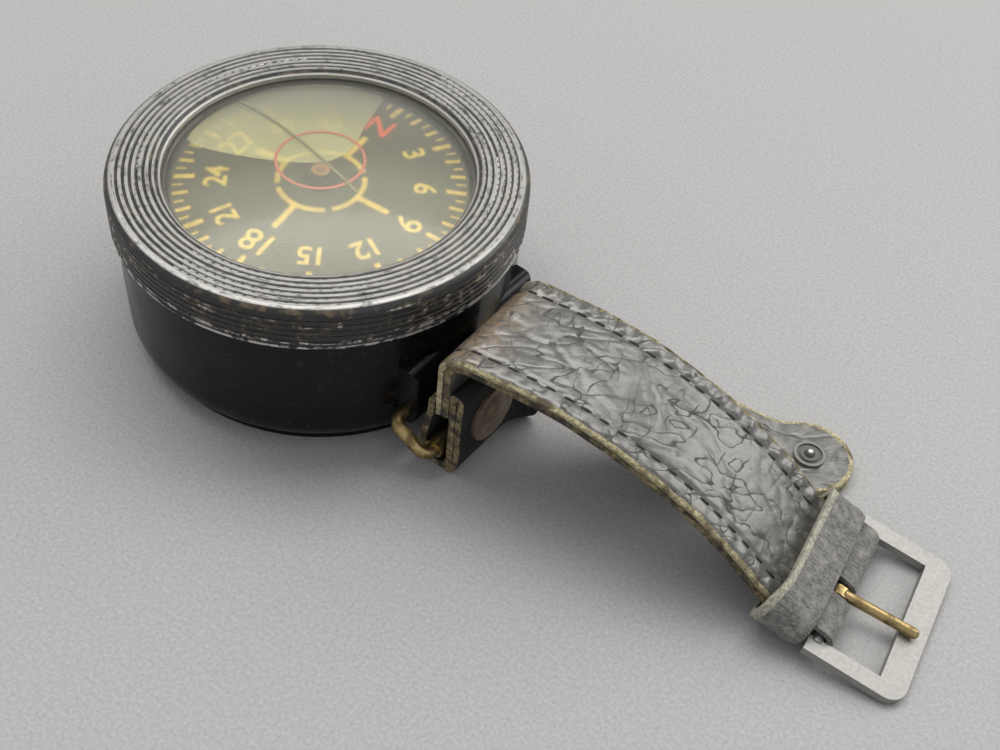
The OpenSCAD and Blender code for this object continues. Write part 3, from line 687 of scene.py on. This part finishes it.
def strap_rail(stops, seed):
    """The strap's stops as cut_strip takes them, with hand-cut edges."""
    turn = strap_place.to_3x3()
    rail = []
    for x, z, nx, nz, twist, s in stops:
        near = STRAP_HALF + CUT_WAVER * wave(seed, s, 0, 4) - CUT_BACK
        far = STRAP_HALF + CUT_WAVER * wave(seed + 1, s, 9, 4) - CUT_BACK
        across, outward = turn @ Vector((SKEW * twist, 1, 0)), turn @ Vector((nx, 0, nz))
        rail.append((strap_place @ Vector((x, 0, z)), across, outward, near, far))
    return rail


def creased(s, y):
    """Height of the outer face over the plain arch: creases, soft pads and sewn borders."""
    spot = Vector((s * 0.10 + 0.05 * y, y * 0.17 - 0.035 * s, 1.7))
    spot += 0.45 * Vector((noise.noise(spot * 1.3), noise.noise(spot * 1.3 + Vector((5, 2, 8))), 0))
    lines = 0.0
    for size, deep in ((1.0, 0.16), (2.2, 0.08), (4.1, 0.035)):
        lines -= deep * math.exp(-(noise.noise(spot * size + Vector((0, 0, size))) / 0.055) ** 2)
    open_face = 1 - step_up(abs(y), STITCH_Y - 1.0, STITCH_Y)
    pads = 0.11 * noise.noise(spot * 1.7 + Vector((9, 4, 0)))
    sewn = -0.30 * math.exp(-((abs(y) - STITCH_Y) / 0.36) ** 2)
    border = step_up(abs(y), STITCH_Y + 0.1, STITCH_Y + 0.9)
    pucker = border * 0.12 * math.sin(2 * math.pi * s / STITCH_STEP) * (1.5 if y > 0 else 0.6)
    rolled = -0.5 * step_up(abs(y), STRAP_HALF - 0.9, STRAP_HALF) ** 2
    return (lines + pads) * (0.3 + 0.7 * open_face) + sewn + pucker + rolled


outer_stops = strap_stops(0.0, STOP_GAP)
outer = cut_strip(
    "strap_face", strap_rail(outer_stops, 4), OUTER_T, 56, (hide, raw_edge, flesh),
    lambda stop, y: creased(outer_stops[stop][5], y), worn=(1, 1),
)
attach(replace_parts(outer, "strap_outer"), "strap")

lining_stops = strap_stops(LINING_DEPTH, 2 * STOP_GAP)
lining = cut_strip("strap_back", strap_rail(lining_stops, 6), LINING_T, 20, (flesh, dark_edge, flesh))
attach(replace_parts(lining, "strap_lining"), "strap")

waxed_thread = Finish("waxed_thread")
twist_light = waxed_thread.mottle(0.3, 4.0)
thread_tone = waxed_thread.blend(twist_light, (0.005, 0.005, 0.005, 1), (0.03, 0.028, 0.025, 1))
waxed_thread.give("Base Color", thread_tone)
waxed_thread.give("Roughness", waxed_thread.between(twist_light, 0.45, 0.7))


def sew(name, seats):
    """Stitches of thread: each is a row of (point, direction along, direction outwards)."""
    mesh = bmesh.new()
    around = [2 * math.pi * k / 6 for k in range(6)]
    for stitch in seats:
        rings = []
        for point, along, outward in stitch:
            sideways = along.cross(outward).normalized()
            spokes = [math.cos(a) * sideways + math.sin(a) * outward for a in around]
            rings.append([point + THREAD_R * spoke for spoke in spokes])
        skin(mesh, rings)
    return as_piece(name, mesh, waxed_thread, sharp=70)


def strap_stitches():
    """Two rows of stitches that dip into the hide at both ends."""
    rail = strap_rail(outer_stops, 4)
    last_start = outer_stops[-1][5] - SEW_STOP
    seats = []
    for y in (-STITCH_Y, STITCH_Y):
        start = SEW_START
        while start < last_start:
            stitch = []
            for part, sunk in STITCH_FORM:
                s = start + STITCH_L * part
                stop = min(range(len(outer_stops)), key=lambda i: abs(outer_stops[i][5] - s))
                middle, across, outward = rail[stop][:3]
                slant = STITCH_SLANT * (part - 0.5)
                ahead = (rail[min(stop + 1, len(rail) - 1)][0] - rail[max(stop - 1, 0)][0]).normalized()
                lift = creased(outer_stops[stop][5], y) + sunk + STITCH_SEAT
                stitch.append((middle + across * (y + slant) + outward * lift, ahead, outward))
            seats.append(stitch)
            start += STITCH_STEP
    return seats


strap_sewing = sew("strap_sewing", strap_stitches())
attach(strap_sewing, "strap")

# Press-stud tongue
# Two layers of the same hide, sewn under the top of the arch. It slants down to the table
# and carries one half of a blackened press stud in its rounded tip.
TAB_HALF = 6.5
TAB_TIP = 41.7
TAB_RUN = 37.4
TAB_BEND = 6.0
TAB_LOW = 2.03
TAB_ROOT = 7.6
TAB_BACK, TAB_FLAT = -1.4, 2.0
TAB_GAP = 0.34
TAB_LAYER = 0.93
TAB_TURN = math.radians(28)
tab_place = strap_place @ Matrix.Translation((TAB_ROOT, 0, 0)) @ Matrix.Rotation(TAB_TURN, 4, "Z")


def tab_stops():
    """Stops along the tongue's upper face, closer together round its tip."""
    high = ARCH_TOP - STRAP_T - TAB_GAP
    drop = high - TAB_LOW
    reach = math.hypot(TAB_RUN, 2 * TAB_BEND - drop)
    dip = math.asin(2 * TAB_BEND / reach) - math.atan2(2 * TAB_BEND - drop, TAB_RUN)
    foot = TAB_FLAT + TAB_RUN
    turns = [dip * k / 8 for k in range(9)]
    crest = [
        (TAB_FLAT + TAB_BEND * math.sin(a), high - TAB_BEND + TAB_BEND * math.cos(a), a)
        for a in turns
    ]
    rise = [
        (foot - TAB_BEND * math.sin(a), TAB_LOW + TAB_BEND - TAB_BEND * math.cos(a), a)
        for a in turns[::-1]
    ]
    (ax, az, _), (bx, bz, _) = crest[-1], rise[0]
    slope = [(ax + (bx - ax) * k / 26, az + (bz - az) * k / 26, dip) for k in range(1, 26)]
    flat = [(foot + (TAB_TIP - foot) * k / 6, TAB_LOW, 0.0) for k in range(1, 7)]
    tip = [(TAB_TIP + TAB_HALF * math.sin(math.pi / 2 * k / 14), TAB_LOW, 0.0) for k in range(1, 15)]
    return [(TAB_BACK, high, 0.0)] + crest + slope + rise + flat + tip


def tab_rail(depth, shrink):
    """The tongue's stops as cut_strip takes them, depth under its upper face."""
    turn = tab_place.to_3x3()
    rail = []
    for x, z, dip in tab_stops():
        outward = Vector((math.sin(dip), 0, math.cos(dip)))
        half = TAB_HALF if x <= TAB_TIP else math.sqrt(max(0.0, TAB_HALF ** 2 - (x - TAB_TIP) ** 2))
        half = max(0.25, half - shrink)
        middle = tab_place @ (Vector((x, 0, z)) - outward * depth)
        rail.append((middle, turn @ Vector((0, 1, 0)), turn @ outward, half, half))
    return rail


tab_hide = hide_finish("tongue_hide", 10.0, 12.0)
tongue_face = cut_strip(
    "tongue_face", tab_rail(depth=0.0, shrink=0.12), TAB_LAYER, 30, (tab_hide, raw_edge, flesh),
    lambda stop, y: 0.06 * wave(8, stop, y, 3),
)
tongue_back = cut_strip(
    "tongue_back", tab_rail(depth=TAB_LAYER + 0.1, shrink=0.05), TAB_LAYER, 16, (flesh, raw_edge, tab_hide),
)
from_tab = tab_place.inverted()
for face in tongue_face.data.polygons:
    spot = from_tab @ (face.center / MM)
    if face.material_index == 0 and math.hypot(max(0.0, spot.x - TAB_TIP), spot.y) > TAB_HALF - 0.7:
        face.material_index = 1
for piece in (tongue_face, tongue_back):
    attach(piece, "strap")
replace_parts(tongue_face, "snap_tab")

black_stud = Finish("blackened_stud", Metallic=0.3)
stud_at = tab_place @ Vector((TAB_TIP, 0, 0)) * MM
on_plan = black_stud.stretched(1, 1, 0)
stud_r = black_stud.add("VectorMath", {0: on_plan, 1: stud_at}, output=1, operation="DISTANCE")
rim_rub = black_stud.above(stud_r, 1.75 * MM, 2.1 * MM)
# The pale dot at the stud's centre is a painted highlight; the paler ring at the rim is rubbed wear.
painted_glint_dot = black_stud.above(stud_r, 0.45 * MM, 0.25 * MM)
uneven = black_stud.between(black_stud.mottle(0.6), 0.4, 1.0)
stud_rub = black_stud.maths("MULTIPLY", black_stud.maths("MAXIMUM", rim_rub, painted_glint_dot), uneven)
stud_paint = black_stud.blend(stud_rub, (0.10, 0.10, 0.094, 1), (0.20, 0.195, 0.175, 1))
black_stud.give("Base Color", black_stud.blend(painted_glint_dot, stud_paint, (0.62, 0.61, 0.57, 1)))
black_stud.give("Roughness", black_stud.between(stud_rub, 0.6, 0.35))
dress(black_stud, "tab_stud")

# Fold and keeper at the buckle
# The strap's end is wrapped by a thinner suede strip that folds round the buckle's bar and is
# slotted for the prong. A short band of the same suede is slipped over both as the keeper.
FOLD_OUT = 2.1
FOLD_START = -7.2
FOLD_HALF = 9.65
FOLD_T = 0.86
FOLD_STOPS = 18
SLOT_Y = -1.9
SLOT_HALF = 1.35
KEEPER_X = -5.0
KEEPER_T = 1.1
KEEPER_GAP = 0.06
KEEPER_BACK, KEEPER_FRONT = 2.7, 3.0
end_place = strap_place @ Matrix.Translation((BUCKLE_X, 0, BUCKLE_Z)) @ Matrix.Rotation(DIP, 4, "Y")

suede = Finish("grey_suede", Roughness=0.9, Sheen_Weight=0.12, Sheen_Roughness=0.5)
nap = suede.patches(0.3, 9.0, 0.3, 0.72, suede.stretched(0.3, 1, 1))
rubbed_nap = suede.patches(1.4, 8.0, 0.44, 0.74)
suede_tone = suede.blend(nap, (0.07, 0.069, 0.065, 1), (0.18, 0.177, 0.166, 1))
suede.give("Base Color", suede.blend(rubbed_nap, suede_tone, (0.22, 0.212, 0.19, 1)))
suede.relief(suede.mottle(0.35, 9.0), 0.12)
grey_edge = bare_hide(
    "grey_edge", rough=0.9, nap=(0.5, 8.0, 0.3, 0.75), fuzz=(0.35, 8.0), depth=0.12,
    dull=(0.19, 0.18, 0.145, 1), pale=(0.40, 0.38, 0.31, 1),
)


def fold_rail(low, high):
    """Over the strap's end, round the bar and back under it, between two places across."""
    turn = end_place.to_3x3()
    line = [(FOLD_START * (1 - k / FOLD_STOPS), FOLD_OUT, 0.0, 1.0) for k in range(FOLD_STOPS + 1)]
    round_bar = [math.pi * k / FOLD_STOPS for k in range(1, FOLD_STOPS)]
    line += [(FOLD_OUT * math.sin(a), FOLD_OUT * math.cos(a), math.sin(a), math.cos(a)) for a in round_bar]
    line += [(FOLD_START * k / FOLD_STOPS, -FOLD_OUT, 0.0, -1.0) for k in range(FOLD_STOPS + 1)]
    middle_y, half = (low + high) / 2, (high - low) / 2
    across = turn @ Vector((0, 1, 0))
    return [
        (end_place @ Vector((x, middle_y, z)), across, turn @ Vector((nx, 0, nz)), half, half)
        for x, z, nx, nz in line
    ]


for side, low, high in (("near", -FOLD_HALF, SLOT_Y - SLOT_HALF), ("far", SLOT_Y + SLOT_HALF, FOLD_HALF)):
    fold = cut_strip(
        "fold_" + side, fold_rail(low, high), FOLD_T, 14, (suede, suede, flesh),
        lambda stop, y: 0.07 * wave(10, stop * 0.5, y, 2.5),
    )
    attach(fold, "strap")
    if side == "near":
        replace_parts(fold, "end_fold")


def keeper_rail():
    """Once round the fold. The far end is snug; the near end is a slack round bight."""
    turn = end_place.to_3x3()
    half_z = FOLD_OUT + 0.05 + KEEPER_T
    snug, slack, r = 9.8 + KEEPER_T, 8.9, 1.7
    quarter = [math.radians(90 * k / 8) for k in range(9)]
    bight = [math.radians(90 + 180 * k / 20) for k in range(21)]
    line = [(snug - r + r * math.cos(a), half_z - r + r * math.sin(a), a) for a in quarter]
    line += [(-slack + half_z * math.cos(a), half_z * math.sin(a), a) for a in bight]
    line += [(snug - r + r * math.sin(a), -half_z + r - r * math.cos(a), a + 1.5 * math.pi) for a in quarter]
    line.append((line[0][0], line[0][1], 2 * math.pi))
    dense = []
    for (ay, az, aa), (by, bz, ba) in zip(line, line[1:]):
        steps = max(1, round(math.hypot(by - ay, bz - az) / 0.6))
        parts = [k / steps for k in range(steps)]
        dense += [(ay + (by - ay) * p, az + (bz - az) * p, aa + (ba - aa) * p) for p in parts]
    rail = []
    for y, z, a in dense:
        gape = 0.9 * step_up(-y, 6.0, slack + half_z)
        crown = 0.2 * (1 - (y / snug) ** 2) if z > 0 and abs(y) < snug else 0.0
        middle = end_place @ Vector((KEEPER_X, y, z + crown))
        outward = turn @ Vector((0, math.cos(a), math.sin(a)))
        back, front = KEEPER_BACK + gape, KEEPER_FRONT + 0.1 * wave(12, y, z, 4)
        rail.append((middle, turn @ Vector((1, 0, 0)), outward, back, front))
    return rail


def keeper_lift(stop, y):
    """The keeper's face: uneven, turned up at its back edge and rounded off at its front one."""
    return 0.08 * wave(13, stop * 0.6, y, 3) + 0.2 * step_up(-y, 1.2, 2.6) - 0.3 * step_up(y, 2.0, 3.0)


keeper = cut_strip(
    "keeper_band", keeper_rail(), KEEPER_T - KEEPER_GAP, 15, (suede, grey_edge, flesh), keeper_lift,
    worn=(2, 0), closed=True,
)
from_end = end_place.inverted()
for face in keeper.data.polygons:
    if face.material_index == 1 and (from_end @ (face.center / MM)).x > KEEPER_X + 1:
        face.material_index = 0
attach(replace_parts(keeper, "keeper"), "strap")

# Buckle
# A flat frame stamped from aluminium sheet and tumbled to a satin finish, with a loose brass
# prong on its bar.
satin = Finish("satin_alloy", Metallic=1.0)
handling = satin.patches(0.5, 8.0, 0.35, 0.75)
satin.give("Base Color", satin.blend(handling, (0.36, 0.355, 0.34, 1), (0.31, 0.305, 0.29, 1)))
satin.give("Roughness", satin.between(satin.mottle(0.6, 6.0), 0.48, 0.68))
satin.relief(satin.mottle(0.16, 4.0), 0.012)
dress(satin, "buckle_frame")
dress(old_brass, "buckle_prong")

# Table, light and camera
# A pale grey table in an even room, under a broad window of light overhead, a lower one from
# behind and a weak fill from the buckle's side.
TABLE_HALF = 2.5

table_top = Finish("table_top", Roughness=0.7)
weave = table_top.mottle(0.5, 7.0)
table_top.give("Base Color", table_top.blend(weave, (0.23, 0.226, 0.226, 1), (0.43, 0.424, 0.424, 1)))
sheet = bmesh.new()
bmesh.ops.create_grid(sheet, x_segments=2, y_segments=2, size=TABLE_HALF)
floor = as_piece("table", sheet, table_top)

room = bpy.data.worlds.new("room")
room.use_nodes = True
room.node_tree.nodes["Background"].inputs["Color"].default_value = (0.96, 0.97, 1.0, 1)
room.node_tree.nodes["Background"].inputs["Strength"].default_value = 0.6
bpy.context.scene.world = room


def lamp(name, place, aim, size, power):
    panel = bpy.data.lights.new(name, "AREA")
    panel.shape = "RECTANGLE"
    panel.size, panel.size_y = size
    panel.energy = power
    panel.color = (1.0, 0.985, 0.94)
    holder = bpy.data.objects.new(name, panel)
    holder.location = place
    holder.rotation_euler = (Vector(aim) - Vector(place)).to_track_quat("-Z", "Y").to_euler()
    bpy.context.collection.objects.link(holder)


lamp("window", (-0.17, 0.20, 0.86), (0.03, 0, 0.02), (1.0, 0.42), 7.4)
lamp("low_window", (0.43, 0.69, 0.44), (0.05, 0, 0.02), (0.6, 0.4), 3.0)
lamp("side_fill", (0.75, -0.35, 0.6), (0.03, 0, 0.01), (0.5, 0.5), 0.5)

lens = bpy.data.cameras.new("camera")
lens.lens = 47.99
lens.sensor_width = 36.0
lens.clip_start = 0.01
camera = bpy.data.objects.new("camera", lens)
right, up = Vector((0.7955, 0.6015, 0.0738)), Vector((-0.4846, 0.5583, 0.6735))
ahead = Vector((-0.3639, 0.5715, -0.7355))
stand = Matrix((right, up, -ahead)).transposed().to_4x4()
stand.translation = Vector((0.1035, -0.1094, 0.1489))
camera.matrix_world = stand
bpy.context.collection.objects.link(camera)
bpy.context.scene.camera = camera
bpy.context.scene.view_settings.view_transform = "Standard"
